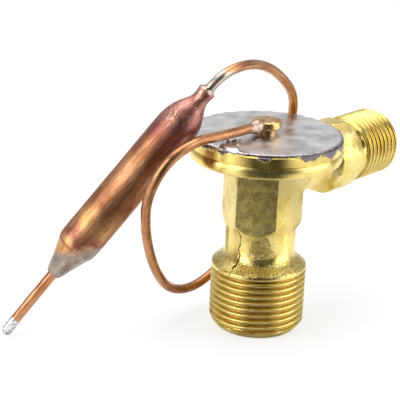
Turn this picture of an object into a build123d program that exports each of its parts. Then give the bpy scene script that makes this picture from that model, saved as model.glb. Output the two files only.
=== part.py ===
from build123d import *
from math import pi, tan
import os

# Thermostatic expansion valve, angle pattern. Millimetres, +Z up.
# Z is the axis of the outlet and of the diaphragm head, +X the axis of the inlet.
# The origin is the centre of the outlet's end face, on which the valve stands.

CLEAR = 0.05  # running clearance between a guide and what slides in it
SEAT_GAP = 0.02  # gap left between faces that touch

# outlet end: M22 x 1.5 outside, M14 x 1 inside for the adjusting nut
OUTLET_R = 11.0
OUTLET_LEAD_R = 9.3
OUTLET_LEAD = 2.0
SHOULDER_EDGE = 15.4
SHOULDER_TOP = 17.6
SHOULDER_ROUND = 0.8
MOUTH_R = 7.9
MOUTH_DEPTH = 5.5
MOUTH_BEVEL = 0.3
NUT_THREAD_R = 7.0
NUT_THREAD_TOP = 16.5
CHAMBER_R = 6.6
CHAMBER_TOP = 27.3

# neck, hexagon and flange
NECK_R = 8.1
HEX_AF = 16.0
HEX_CORNER_R = 9.3
HEX_BASE = 24.2
HEX_BEVEL_TOP = 26.3
FLANGE_R = 17.4
FLANGE_BASE = 40.8
FLANGE_ROUND = 0.85
FLANGE_TOP = 43.5
FLANGE_EDGE = 0.25

# inlet arm: M16 x 1.5
PORT_Z = 36.17
PORT_NECK_R = 6.1
PORT_ROOT_R = 7.0
PORT_ROOT = 8.2
PORT_SHOULDER = 17.6
BOSS_START = 19.2
BOSS_END = 26.8
BOSS_CORNER_R = 8.5
RELIEF_START = 28.3
RELIEF_END = 30.3
RELIEF_R = 7.15
INLET_R = 8.0
INLET_END = 42.5
INLET_LEAD = 1.0
INLET_BORE_R = 5.0
INLET_BORE_START = 20.0
INLET_MOUTH_R = 6.0
PASSAGE_R = 3.25

# drillings under the head
ROD_R = 0.9
ROD_HOLE_R = ROD_R + CLEAR
ROD_OFFSET = 5.5
EQUALIZER_R = 0.8
SPIGOT_R = 12.0
RECESS_FLOOR = 42.85
HEAD_HOLE_R = 7.0
HEAD_HOLE_FLOOR = 41.4

# diaphragm head
CASE_TOP = 46.0
CASE_FLOOR = 43.8
CAVITY_R = 12.9
LEDGE_Z = 45.0
LEDGE_R = 15.2
DIAPHRAGM_T = 0.15
COVER_R = 16.8
COVER_TOP = 46.5
COVER_RECESS_R = 13.0
COVER_RECESS_TOP = 45.5
PAD_R = 12.3
PAD_T = 0.5

# capillary boss on the cover
BOSS_STEM_R = 2.3
BOSS_BUTTON_R = 3.45
BOSS_BUTTON_BASE = 1.3
BOSS_HEIGHT = 3.15

# valve gear in the outlet bore
ORIFICE_R = 1.3
ORIFICE_MOUTH_R = 2.3
INSERT_R = 3.8
INSERT_TOP = 31.0
BALL_R = 2.2
BALL_Z = 26.46
CARRIER_R = 6.3
CARRIER_TOP = 26.0
CARRIER_FLANGE = 2.0
CARRIER_STEM_R = 3.4
CARRIER_STEM_BASE = 20.5
CARRIER_FLAT = 4.6
SPRING_MEAN_R = 4.75
SPRING_WIRE_R = 0.55
SPRING_TURNS = 5
WIRE_SIDES = 8
SEAT_TOP = 15.0
SEAT_T = 1.8
SEAT_R = 6.2
SEAT_HOLE_R = 2.6
NUT_T = 4.05
KEY_AF = 6.5

# inlet strainer
RING_START = 36.0
RING_END = 38.5
RING_BORE_R = 4.2
SCREEN_R = 4.1
SCREEN_START = 23.0
SCREEN_END = 37.0
SCREEN_WALL = 0.25

# capillary tube and bulb
TUBE_R = 1.1
ENTRY_Z = 48.5
BULB_R = 4.75
BULB_TOP = Vector(-17.52, 2.85, 58.57)
BULB_FOOT = Vector(-39.9, 26.43, 15.3)
BULB_AXIS = (BULB_FOOT - BULB_TOP).normalized()
BULB_LENGTH = (BULB_FOOT - BULB_TOP).length
BULB_SHOULDER = 45.5
TUBE_INSERTION = 3.0
TUBE_STRAIGHT = 3.0  # from the last bend's corner to the bulb's top
STUB_R = 1.175
STUB_TIP = Vector(-47.08, 33.78, 1.3)
STUB_BEAD_R = 1.3

# bends of the capillary, from the boss to the bulb
CAPILLARY_ROUTE = [
    (-0.8, 0.0, ENTRY_Z),
    (-8.0, 0.0, ENTRY_Z),
    (-16.2, -0.1, 48.8),
    (-24.4, 0.2, 49.1),
    (-31.0, 2.1, 45.1),
    (-32.7, 5.3, 37.2),
    (-29.9, 8.2, 29.2),
    (-25.9, 10.6, 21.6),
    (-21.6, 12.2, 14.7),
    (-15.0, 14.1, 8.0),
    (-6.8, 14.8, 5.5),
    (1.0, 14.8, 7.2),
    (7.5, 14.0, 12.4),
    (11.9, 12.8, 19.4),
    (14.7, 11.4, 27.4),
    (16.8, 10.6, 35.5),
    (19.7, 8.1, 43.5),
    (16.9, 5.9, 51.0),
    (10.7, 4.7, 56.2),
    (3.9, 3.6, 60.2),
    (-4.0, 2.1, 62.5),
    (-11.6, 1.0, 62.8),
]


def write(name, solid):
    os.makedirs("parts", exist_ok=True)
    solid.label = name
    export_step(solid, os.path.join("parts", name + ".step"))


def turned(points, axis=Axis.Z, rounds={}):
    """Solid of revolution from (radius, height) points, about Z or about X.

    rounds gives the arc's radius at some of the points, by the point's index.
    """
    across = [(r, 0, h) if axis == Axis.Z else (h, 0, r) for r, h in points]
    face = make_face(Polyline(across, close=True))
    for index, radius in rounds.items():
        corner = face.vertices().sort_by_distance(across[index])[0]
        face = fillet(corner, radius)
    return revolve(face, axis=axis)


def bar(radius, start, end):
    """Round bar along Z."""
    return Pos(0, 0, start) * Cylinder(radius, end - start, align=(Align.CENTER, Align.CENTER, Align.MIN))


def hexagon(across_flats, height, turn=0):
    """Hexagonal bar along Z, with a corner on X when turn is 0."""
    return extrude(RegularPolygon(across_flats / 2, 6, major_radius=False, rotation=turn), height)


def edges_at(solid, z, radius):
    """Circular edges of one radius at one height."""
    ring = solid.edges().filter_by(GeomType.CIRCLE)
    return [e for e in ring if abs(e.center().Z - z) < 0.01 and abs(e.radius - radius) < 0.01]


def column():
    """Outlet end, neck, hexagon and flange before drilling."""
    lead = [(0, 0), (OUTLET_LEAD_R, 0), (OUTLET_R, OUTLET_LEAD), (OUTLET_R, SHOULDER_EDGE)]
    foot = turned(lead + [(NECK_R, SHOULDER_TOP), (0, SHOULDER_TOP)])
    foot = fillet(edges_at(foot, SHOULDER_EDGE, OUTLET_R), SHOULDER_ROUND)
    neck = bar(NECK_R, SHOULDER_TOP, HEX_BASE)
    waist = [(0, HEX_BASE), (NECK_R, HEX_BASE), (HEX_CORNER_R, HEX_BEVEL_TOP)]
    blank = turned(waist + [(HEX_CORNER_R, FLANGE_BASE), (0, FLANGE_BASE)])
    six = Pos(0, 0, HEX_BASE) * hexagon(HEX_AF, FLANGE_BASE - HEX_BASE)
    flange = bar(FLANGE_R, FLANGE_BASE, FLANGE_TOP)
    flange = fillet(edges_at(flange, FLANGE_BASE, FLANGE_R), FLANGE_ROUND)
    flange = chamfer(edges_at(flange, FLANGE_TOP, FLANGE_R), FLANGE_EDGE)
    return foot + neck + (blank & six) + flange


def inlet_arm():
    """Forged arm with its six-sided boss and the threaded inlet end."""
    root = [(0, 0), (PORT_ROOT_R, 0), (PORT_ROOT_R, PORT_ROOT), (PORT_NECK_R, PORT_ROOT + 2)]
    shoulder = [(PORT_NECK_R, PORT_SHOULDER), (BOSS_CORNER_R, BOSS_START)]
    end = [(BOSS_CORNER_R, BOSS_END), (RELIEF_R, RELIEF_START), (0, RELIEF_START)]
    blank = turned(root + shoulder + end, Axis.X, {3: 2.0, 4: 0.6, 5: 0.8, 6: 1.2})
    six = Plane.YZ * hexagon(HEX_AF, RELIEF_START)
    lead = [(INLET_R - INLET_LEAD, INLET_END), (0, INLET_END)]
    relief = [(0, RELIEF_START), (RELIEF_R, RELIEF_START), (RELIEF_R, RELIEF_END - 0.8)]
    end = turned(relief + [(INLET_R, RELIEF_END), (INLET_R, INLET_END - INLET_LEAD)] + lead, Axis.X)
    return Pos(0, 0, PORT_Z) * ((blank & six) + end)


def outlet_bores():
    """Outlet mouth, thread for the nut, spring chamber and the seat's bore."""
    mouth = [(0, 0), (MOUTH_R + MOUTH_BEVEL, 0), (MOUTH_R, MOUTH_BEVEL), (MOUTH_R, MOUTH_DEPTH)]
    thread = [(NUT_THREAD_R, MOUTH_DEPTH), (NUT_THREAD_R, NUT_THREAD_TOP), (CHAMBER_R, NUT_THREAD_TOP)]
    chamber = [(CHAMBER_R, CHAMBER_TOP), (INSERT_R, CHAMBER_TOP), (INSERT_R, INSERT_TOP)]
    return turned(mouth + thread + chamber + [(PASSAGE_R, INSERT_TOP), (PASSAGE_R, PORT_Z), (0, PORT_Z)])


def inlet_bores():
    """Inlet bore with its mouth, and the passage to the middle of the body."""
    bore = [(0, 0), (PASSAGE_R, 0), (PASSAGE_R, INLET_BORE_START), (INLET_BORE_R, INLET_BORE_START)]
    mouth = [(INLET_BORE_R, INLET_END - 1), (INLET_MOUTH_R, INLET_END), (0, INLET_END)]
    return Pos(0, 0, PORT_Z) * turned(bore + mouth, Axis.X)


def rod_places():
    return [Pos(0, side * ROD_OFFSET, 0) for side in (-1, 1)]


def valve_body():
    body = column() + inlet_arm() - outlet_bores() - inlet_bores()
    body -= bar(SPIGOT_R + 0.03, RECESS_FLOOR, FLANGE_TOP)
    body -= bar(HEAD_HOLE_R, HEAD_HOLE_FLOOR, RECESS_FLOOR)
    for place in rod_places():
        body -= place * bar(ROD_HOLE_R, CHAMBER_TOP, HEAD_HOLE_FLOOR)
    return body - Pos(-ROD_OFFSET, 0, 0) * bar(EQUALIZER_R, CHAMBER_TOP, HEAD_HOLE_FLOOR)


def lower_case():
    """Brass cup under the diaphragm, with the spigot that is brazed into the flange."""
    spigot = [(HEAD_HOLE_R, RECESS_FLOOR + CLEAR), (SPIGOT_R, RECESS_FLOOR + CLEAR), (SPIGOT_R, FLANGE_TOP)]
    rim = [(FLANGE_R - FLANGE_EDGE, FLANGE_TOP), (FLANGE_R, FLANGE_TOP + FLANGE_EDGE)]
    wall = [(FLANGE_R, CASE_TOP - FLANGE_EDGE), (FLANGE_R - FLANGE_EDGE, CASE_TOP), (LEDGE_R, CASE_TOP)]
    cup = [(LEDGE_R, LEDGE_Z), (CAVITY_R, LEDGE_Z), (CAVITY_R, CASE_FLOOR), (HEAD_HOLE_R, CASE_FLOOR)]
    return turned(spigot + rim + wall + cup)


def diaphragm():
    """Thin disc with two pressed rings, clamped at its rim."""
    rim = LEDGE_R - CLEAR
    rings = [(rim, 0), (12.0, 0), (11.2, 0.2), (10.4, 0), (9.6, 0.2), (8.8, 0), (0, 0)]
    under = [(r, LEDGE_Z + SEAT_GAP / 2 + h) for r, h in rings]
    over = [(r, z + DIAPHRAGM_T) for r, z in reversed(under)]
    return turned(under + over)


def cover():
    """Flat steel disc with a plug that clamps the diaphragm's rim and a hole for the boss."""
    plug = LEDGE_R - CLEAR
    base = LEDGE_Z + DIAPHRAGM_T + SEAT_GAP
    top = [(COVER_R, CASE_TOP), (COVER_R, COVER_TOP - 0.12), (COVER_R - 0.12, COVER_TOP), (1.6, COVER_TOP)]
    under = [(1.6, COVER_RECESS_TOP), (COVER_RECESS_R, COVER_RECESS_TOP), (COVER_RECESS_R, base)]
    return turned([(plug, base), (plug, CASE_TOP)] + top + under)


def head_seam():
    """Bead of solder in the corner between the case's rim and the cover's edge."""
    foot = FLANGE_R - FLANGE_EDGE
    return turned([(COVER_R, CASE_TOP), (foot, CASE_TOP), (COVER_R + 0.12, CASE_TOP + 0.2), (COVER_R, COVER_TOP - 0.12)])


def capillary_boss():
    """Brass button on a short stem, drilled across for the tube."""
    base = BOSS_BUTTON_BASE
    stem = [(0.6, -1.0), (1.55, -1.0), (1.55, 0), (BOSS_STEM_R, 0), (BOSS_STEM_R, base - 0.3)]
    button = [(BOSS_BUTTON_R, base), (BOSS_BUTTON_R, BOSS_HEIGHT - 0.1), (0, BOSS_HEIGHT)]
    drill = [(0, ENTRY_Z - COVER_TOP), (0.6, ENTRY_Z - COVER_TOP)]
    boss = Pos(0, 0, COVER_TOP) * turned(stem + button + drill, rounds={4: 0.4, 5: 0.5, 6: 0.9})
    socket = Plane(origin=(-0.8 + SEAT_GAP, 0, ENTRY_Z), z_dir=(-1, 0, 0)) * Cylinder(
        TUBE_R + SEAT_GAP, BOSS_BUTTON_R, align=(Align.CENTER, Align.CENTER, Align.MIN)
    )
    return boss - socket


def boss_braze():
    """Ring of braze round the tube where it enters the boss."""
    inner = TUBE_R + SEAT_GAP
    ring = [(inner, 3.5), (2.0, 3.5), (1.55, 3.75), (inner + 0.15, 4.3), (inner, 4.3)]
    return Pos(0, 0, ENTRY_Z) * Rot(0, 180, 0) * turned(ring, Axis.X)


def capillary():
    """Formed copper tube; every bend is as large as its two straight runs allow."""
    entry = BULB_TOP - BULB_AXIS * TUBE_STRAIGHT
    points = [Vector(*p) for p in CAPILLARY_ROUTE] + [entry, BULB_TOP + BULB_AXIS * TUBE_INSERTION]
    radii = []
    for before, corner, after in zip(points, points[1:], points[2:]):
        turn = (corner - before).get_angle(after - corner) * pi / 180
        shorter = min((corner - before).length, (after - corner).length)
        radii.append(0.45 * shorter / tan(turn / 2))
    print("capillary bend radii:", [round(r, 1) for r in radii])
    path = FilletPolyline(*points, radius=radii)
    section = Plane(path @ 0, z_dir=path % 0) * Circle(TUBE_R)
    tube = sweep(section, path=path)
    print("capillary length %.1f, volume ratio %.4f" % (path.length, tube.volume / (pi * TUBE_R**2 * path.length)))
    return tube


def on_bulb(points, rounds={}):
    """Solid turned about the bulb's axis from (radius, distance below its top end) points."""
    place = Plane(origin=BULB_TOP, z_dir=BULB_AXIS)
    return place * turned(points, rounds=rounds)


def bulb():
    """Copper bulb with swaged necks, closed on itself."""
    socket = [(0, 3.1), (TUBE_R + SEAT_GAP, 3.1), (TUBE_R + SEAT_GAP, 0)]
    upper = [(1.75, 0), (1.85, 2.4), (3.5, 5.0), (BULB_R, 9.3)]
    lower = [(BULB_R, BULB_SHOULDER), (4.4, 46.7), (2.35, 49.7), (1.95, 52.0), (1.7, BULB_LENGTH)]
    end = [(STUB_R + SEAT_GAP, BULB_LENGTH), (STUB_R + SEAT_GAP, 51.0), (0, 51.0)]
    return on_bulb(socket + upper + lower + end, {4: 1.5, 5: 4.0, 6: 8.0, 7: 1.2, 8: 1.2, 9: 1.5, 10: 3.0})


def bulb_solder():
    """Solder that fills the step between the tube and the bulb's upper neck."""
    inner = TUBE_R + SEAT_GAP
    return on_bulb([(inner, -0.65), (1.3, -0.65), (1.72, -SEAT_GAP), (inner, -SEAT_GAP)])


def charge_tube():
    """Copper stub left from charging, slightly bent, pinched and sealed at its end."""
    start = BULB_TOP + BULB_AXIS * 51.05
    bend = BULB_TOP + BULB_AXIS * (BULB_LENGTH + 4.0)
    aim = (STUB_TIP - bend).normalized()
    path = FilletPolyline(start, bend, STUB_TIP - aim * 1.0, radius=[20])
    return sweep(Plane(path @ 0, z_dir=path % 0) * Circle(STUB_R), path=path)


def charge_seal(stub):
    return Pos(*STUB_TIP) * Sphere(STUB_BEAD_R) - stub


def diaphragm_pad():
    """Plate that hands the diaphragm's force to the rods."""
    top = LEDGE_Z - CLEAR
    return turned([(0, top - PAD_T), (PAD_R, top - PAD_T), (PAD_R, top - 0.2), (PAD_R - 0.3, top), (0, top)])


def push_rod():
    base = CARRIER_TOP + SEAT_GAP
    top = LEDGE_Z - CLEAR - PAD_T - SEAT_GAP
    return turned([(0, base), (ROD_R - 0.2, base), (ROD_R, base + 0.2), (ROD_R, top), (0, top)])


def orifice_seat():
    """Hard insert with the metering hole and the ball's conical seat."""
    cone_top = CHAMBER_TOP + ORIFICE_MOUTH_R - ORIFICE_R
    low = [(ORIFICE_R, cone_top), (ORIFICE_MOUTH_R, CHAMBER_TOP), (INSERT_R - SEAT_GAP, CHAMBER_TOP)]
    top = INSERT_TOP - SEAT_GAP
    return turned(low + [(INSERT_R - SEAT_GAP, top), (1.9, top), (ORIFICE_R, top - 0.6)])


def valve_ball():
    return Pos(0, 0, BALL_Z) * Sphere(BALL_R)


def ball_carrier():
    """Guide that carries the ball, flatted on two sides to let the liquid past."""
    under = CARRIER_TOP - CARRIER_FLANGE
    stem = [(0, CARRIER_STEM_BASE), (CARRIER_STEM_R - 0.4, CARRIER_STEM_BASE), (CARRIER_STEM_R, CARRIER_STEM_BASE + 0.4)]
    head = [(CARRIER_STEM_R, under), (CARRIER_R, under), (CARRIER_R, CARRIER_TOP), (0, CARRIER_TOP)]
    blank = turned(stem + head)
    slab = Pos(0, 0, under) * Box(2 * CARRIER_FLAT, 20, 20)
    return (blank & slab) - Pos(0, 0, BALL_Z) * Sphere(BALL_R + 0.03)


def superheat_spring():
    """Compression spring with both ends ground flat; its wire is drawn with flats to keep the solid light."""
    top = CARRIER_TOP - CARRIER_FLANGE
    low = SEAT_TOP + SPRING_WIRE_R / 2
    height = top - SEAT_TOP - SPRING_WIRE_R
    helix = Pos(0, 0, low) * Helix(height / SPRING_TURNS, height, SPRING_MEAN_R)
    wire = Plane(helix @ 0, z_dir=helix % 0) * RegularPolygon(SPRING_WIRE_R, WIRE_SIDES)
    coil = sweep(wire, path=helix, is_frenet=True)
    return coil & bar(SPRING_MEAN_R + 1, SEAT_TOP + SEAT_GAP, top - SEAT_GAP)


def spring_seat():
    """Washer with a centring rim for the spring."""
    low = SEAT_TOP - SEAT_T
    rim = SPRING_MEAN_R - SPRING_WIRE_R - CLEAR * 2
    disc = [(SEAT_HOLE_R, low), (SEAT_R, low), (SEAT_R, SEAT_TOP), (rim, SEAT_TOP)]
    return turned(disc + [(rim - 0.2, SEAT_TOP + 0.8), (SEAT_HOLE_R, SEAT_TOP + 0.8)])


def adjusting_nut():
    """Threaded ring with a six-sided key hole."""
    top = SEAT_TOP - SEAT_T - CLEAR
    low = top - NUT_T
    ring = bar(NUT_THREAD_R - CLEAR, low, top)
    ring = chamfer(ring.edges().filter_by(GeomType.CIRCLE), 0.4)
    return ring - Pos(0, 0, low) * hexagon(KEY_AF, NUT_T)


def strainer_ring():
    outer = INLET_BORE_R - SEAT_GAP
    ring = [(RING_BORE_R, RING_START), (outer, RING_START), (outer, RING_END), (RING_BORE_R + 0.3, RING_END)]
    return Pos(0, 0, PORT_Z) * turned(ring + [(RING_BORE_R, RING_END - 0.3)], Axis.X)


def strainer_screen():
    """Fine sieve, a thin cup with its closed end towards the valve."""
    inner = SCREEN_R - SCREEN_WALL
    cup = [(0, SCREEN_START), (SCREEN_R - 0.6, SCREEN_START), (SCREEN_R, SCREEN_START + 0.6), (SCREEN_R, SCREEN_END)]
    hollow = [(inner, SCREEN_END), (inner, SCREEN_START + 0.7), (inner - 0.4, SCREEN_START + SCREEN_WALL)]
    return Pos(0, 0, PORT_Z) * turned(cup + hollow + [(0, SCREEN_START + SCREEN_WALL)], Axis.X)


stub = charge_tube()
parts = {
    "valve_body": valve_body(),
    "diaphragm_lower_case": lower_case(),
    "diaphragm": diaphragm(),
    "diaphragm_cover": cover(),
    "head_solder_seam": head_seam(),
    "capillary_boss": capillary_boss(),
    "boss_braze": boss_braze(),
    "capillary_tube": capillary(),
    "bulb_neck_solder": bulb_solder(),
    "sensing_bulb": bulb(),
    "charge_tube": stub,
    "charge_tube_seal": charge_seal(stub),
    "diaphragm_pad": diaphragm_pad(),
    "orifice_seat": orifice_seat(),
    "valve_ball": valve_ball(),
    "ball_carrier": ball_carrier(),
    "superheat_spring": superheat_spring(),
    "spring_seat": spring_seat(),
    "adjusting_nut": adjusting_nut(),
    "strainer_ring": strainer_ring(),
    "strainer_screen": strainer_screen(),
}
for side, place in zip(("left", "right"), rod_places()):
    parts["push_rod_" + side] = place * push_rod()
for name, solid in parts.items():
    write(name, solid)
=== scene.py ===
import bmesh
import bpy
import numpy as np
from mathutils import Matrix, Vector


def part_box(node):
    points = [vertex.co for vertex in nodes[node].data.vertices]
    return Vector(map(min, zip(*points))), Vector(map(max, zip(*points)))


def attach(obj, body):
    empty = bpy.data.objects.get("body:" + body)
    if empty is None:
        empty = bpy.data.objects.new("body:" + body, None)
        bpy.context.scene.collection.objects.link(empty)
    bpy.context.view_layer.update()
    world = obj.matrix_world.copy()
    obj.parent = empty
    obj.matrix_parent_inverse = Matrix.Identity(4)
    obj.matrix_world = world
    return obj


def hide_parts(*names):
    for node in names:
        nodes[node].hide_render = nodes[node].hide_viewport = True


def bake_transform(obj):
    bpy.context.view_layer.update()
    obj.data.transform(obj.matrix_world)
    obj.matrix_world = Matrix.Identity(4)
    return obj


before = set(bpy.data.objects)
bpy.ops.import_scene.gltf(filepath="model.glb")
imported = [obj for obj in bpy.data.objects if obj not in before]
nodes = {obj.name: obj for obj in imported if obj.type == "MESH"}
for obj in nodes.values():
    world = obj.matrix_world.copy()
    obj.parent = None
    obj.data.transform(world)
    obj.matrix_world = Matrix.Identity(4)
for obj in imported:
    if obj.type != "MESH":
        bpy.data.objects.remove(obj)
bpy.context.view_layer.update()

mm = 0.001
tau = 2 * np.pi
print("frame loaded:", len(nodes), "nodes")


def smoothStep(x, low, high):
    # 3t^2 - 2t^3 between low and high, flat outside
    t = np.clip((x - low) / (high - low), 0, 1)
    return t * t * (3 - 2 * t)


def ripple(u, v, seed, waves=9, reach=4):
    # sum of sines with whole numbers of waves round v, so it closes there; about -1 to 1
    rng = np.random.default_rng(seed)
    total = 0
    for i in range(waves):
        along = rng.uniform(-reach, reach) * u
        around = rng.integers(-reach, reach + 1) * v
        total = total + np.sin(along + around + rng.uniform(0, tau))
    return total / np.sqrt(waves)


def gridFaces(rows, cols):
    # quads of a grid that closes on itself across its columns
    r = np.arange(rows - 1)[:, None] * cols
    c = np.arange(cols)[None, :]
    n = (c + 1) % cols
    return np.stack([r + c, r + n, r + cols + n, r + cols + c], -1).reshape(-1, 4)


def hoopFaces(rows, cols):
    # quads of a grid that closes on itself both ways
    r = np.arange(rows)[:, None]
    c = np.arange(cols)[None, :]
    a = r * cols + c
    b = r * cols + (c + 1) % cols
    up = (r + 1) % rows * cols
    return np.stack([a, b, up + (c + 1) % cols, up + c], -1).reshape(-1, 4)


def newPiece(name, points, faces, material):
    mesh = bpy.data.meshes.new(name)
    mesh.from_pydata(points.reshape(-1, 3).tolist(), [], faces)
    mesh.polygons.foreach_set("use_smooth", [True] * len(mesh.polygons))
    mesh.materials.append(material)
    mesh.update()
    piece = bpy.data.objects.new(name, mesh)
    bpy.context.scene.collection.objects.link(piece)
    return piece


def setValue(piece, name, values):
    # one number at each vertex, which the piece's material reads
    layer = piece.data.attributes.new(name, "FLOAT", "POINT")
    layer.data.foreach_set("value", np.asarray(values, float).ravel())


def setUnrolled(piece, line, radius, cols):
    # each vertex's place if the piece were straight: round a circle, and how far along
    length = np.r_[0, np.cumsum(np.linalg.norm(np.diff(line, axis=0), axis=1))]
    angle = np.arange(cols) * tau / cols
    r = np.broadcast_to(np.asarray(radius, float).reshape(len(line), -1), (len(line), cols))
    s = np.broadcast_to(length[:, None], r.shape)
    places = np.stack([r * np.cos(angle), r * np.sin(angle), s], -1).reshape(-1, 3)
    places = np.vstack([places, [0, 0, 0], [0, 0, length[-1]]])
    layer = piece.data.attributes.new("unrolled", "FLOAT_VECTOR", "POINT")
    layer.data.foreach_set("vector", places.ravel())


def closedTube(name, rings, material):
    # a grid of rings (rows, cols, 3) with a fan to the middle of each end
    rows, cols = rings.shape[:2]
    ends = np.stack([rings[0].mean(0), rings[-1].mean(0)])
    points = np.vstack([rings.reshape(-1, 3), ends])
    quads = gridFaces(rows, cols).tolist()
    c = np.arange(cols)
    n = (c + 1) % cols
    first = np.stack([n, c, np.full(cols, rows * cols)], -1)
    last = np.stack([c, n, np.full(cols, rows * cols + 1)], -1) + [(rows - 1) * cols, (rows - 1) * cols, 0]
    return newPiece(name, points, quads + np.vstack([first, last]).tolist(), material)


def carriedFrames(path):
    # tangent and two normals at each point, the normals carried along without twist
    tangent = np.gradient(path, axis=0)
    tangent /= np.linalg.norm(tangent, axis=1)[:, None]
    side = np.cross(tangent[0], [0.3, 0.2, 1.0])
    sides = []
    for t in tangent:
        side = side - t * (side @ t)
        side = side / np.linalg.norm(side)
        sides.append(side)
    sides = np.array(sides)
    return tangent, sides, np.cross(tangent, sides)


def ringsAlong(path, radius, cols):
    # circle of the given radius at each point of a path; radius may change along and round it
    _, a, b = carriedFrames(path)
    angle = np.arange(cols) * tau / cols
    r = np.broadcast_to(np.asarray(radius, float).reshape(len(path), -1), (len(path), cols))
    cos = np.cos(angle)[None, :, None]
    sin = np.sin(angle)[None, :, None]
    return path[:, None] + r[..., None] * (cos * a[:, None] + sin * b[:, None])


def resample(line, count):
    # points evenly spaced by length along a line
    length = np.r_[0, np.cumsum(np.linalg.norm(np.diff(line, axis=0), axis=1))]
    at = np.linspace(0, length[-1], count)
    return np.stack([np.interp(at, length, line[:, k]) for k in range(3)], -1)


def splineLine(points):
    # the smooth line of a NURBS spline of order 3 with these control points
    curve = bpy.data.curves.new("line", "CURVE")
    curve.dimensions = "3D"
    curve.resolution_u = 24
    spline = curve.splines.new("NURBS")
    spline.points.add(len(points) - 1)
    for point, place in zip(spline.points, points):
        point.co = (*place, 1)
    spline.order_u = 3
    spline.use_endpoint_u = True
    holder = bpy.data.objects.new("line", curve)
    bpy.context.scene.collection.objects.link(holder)
    bpy.context.view_layer.update()
    mesh = bpy.data.meshes.new_from_object(holder)
    line = np.zeros(len(mesh.vertices) * 3)
    mesh.vertices.foreach_get("co", line)
    bpy.data.objects.remove(holder)
    bpy.data.meshes.remove(mesh)
    return line.reshape(-1, 3)


class Surface:
    # a metal's node tree: a few short calls that add and link nodes

    def __init__(self, name, color, roughness):
        self.material = bpy.data.materials.new(name)
        self.material.use_nodes = True
        self.tree = self.material.node_tree
        self.shader = next(n for n in self.tree.nodes if n.type == "BSDF_PRINCIPLED")
        self.shader.inputs["Base Color"].default_value = (*color, 1)
        self.shader.inputs["Roughness"].default_value = roughness
        self.shader.inputs["Metallic"].default_value = 1.0
        self.place = self.node("ShaderNodeTexCoord").outputs["Object"]

    def node(self, kind, **settings):
        made = self.tree.nodes.new(kind)
        for key, value in settings.items():
            setattr(made, key, value)
        return made

    def link(self, source, target):
        self.tree.links.new(source, target)

    def noise(self, size, detail=3.0, stretch=None, source=None):
        # noise whose lumps are about size metres across
        made = self.node("ShaderNodeTexNoise")
        made.inputs["Scale"].default_value = 1 / size
        made.inputs["Detail"].default_value = detail
        source = source or self.place
        if stretch:
            mapping = self.node("ShaderNodeMapping")
            mapping.inputs["Scale"].default_value = stretch
            self.link(source, mapping.inputs["Vector"])
            source = mapping.outputs["Vector"]
        self.link(source, made.inputs["Vector"])
        return made.outputs["Fac"]

    def streaks(self, size, detail=3.0, stretch=0.12):
        # noise drawn out along the piece, from the place that setUnrolled stored
        source = self.node("ShaderNodeAttribute", attribute_name="unrolled").outputs["Vector"]
        return self.noise(size, detail, (1, 1, stretch), source)

    def value(self, name):
        return self.node("ShaderNodeAttribute", attribute_name=name).outputs["Fac"]

    def range(self, source, low, high, start=0.0, end=1.0):
        made = self.node("ShaderNodeMapRange", interpolation_type="SMOOTHSTEP")
        for key, number in zip(("From Min", "From Max", "To Min", "To Max"), (low, high, start, end)):
            made.inputs[key].default_value = number
        self.link(source, made.inputs["Value"])
        return made.outputs["Result"]

    def math(self, kind, a, b):
        made = self.node("ShaderNodeMath", operation=kind)
        for socket, item in zip(made.inputs, (a, b)):
            if isinstance(item, (int, float)):
                socket.default_value = item
            else:
                self.link(item, socket)
        return made.outputs["Value"]

    def ramp(self, source, stops):
        # colours at places from 0 to 1
        made = self.node("ShaderNodeValToRGB")
        band = made.color_ramp
        while len(band.elements) < len(stops):
            band.elements.new(0.5)
        for element, (place, color) in zip(band.elements, stops):
            element.position = place
            element.color = (*color, 1)
        self.link(source, made.inputs["Fac"])
        return made.outputs["Color"]

    def mix(self, amount, a, b):
        made = self.node("ShaderNodeMix", data_type="RGBA")
        colors = [s for s in made.inputs if s.type == "RGBA"]
        for socket, item in zip(colors, (a, b)):
            if isinstance(item, tuple):
                socket.default_value = (*item, 1)
            else:
                self.link(item, socket)
        factor = next(s for s in made.inputs if s.name == "Factor" and s.type == "VALUE")
        self.link(amount, factor)
        return next(s for s in made.outputs if s.type == "RGBA")

    def near(self, point, inner, outer):
        # 1 within inner metres of a point, 0 beyond outer
        made = self.node("ShaderNodeVectorMath", operation="DISTANCE")
        self.link(self.place, made.inputs[0])
        made.inputs[1].default_value = point
        return self.range(made.outputs["Value"], inner, outer, 1, 0)

    def choose(self, amount, a, b):
        # number a where amount is 0, b where it is 1
        made = self.node("ShaderNodeMix", data_type="FLOAT")
        for socket, item in zip((made.inputs[0], made.inputs[2], made.inputs[3]), (amount, a, b)):
            self.link(item, socket)
        return made.outputs[0]

    def bump(self, height, distance):
        # bumps one after the other, each on top of the last
        made = self.node("ShaderNodeBump")
        made.inputs["Distance"].default_value = distance
        made.inputs["Strength"].default_value = 1.0
        self.link(height, made.inputs["Height"])
        normal = self.shader.inputs["Normal"]
        if normal.is_linked:
            self.link(normal.links[0].from_socket, made.inputs["Normal"])
        self.link(made.outputs["Normal"], normal)

    def color(self, source):
        self.link(source, self.shader.inputs["Base Color"])

    def roughness(self, source):
        self.link(source, self.shader.inputs["Roughness"])


brass = {
    "bright": (0.82, 0.655, 0.20),
    "pale": (0.85, 0.71, 0.32),
    "turned": (0.79, 0.63, 0.215),
    "tan": (0.62, 0.46, 0.13),
    "dull": (0.27, 0.20, 0.05),
    "machinedRoughness": (0.20, 0.31),
    "forgedRoughness": (0.32, 0.50),
    "grain": 0.9 * mm,
    "pits": 0.30 * mm,
}


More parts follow.
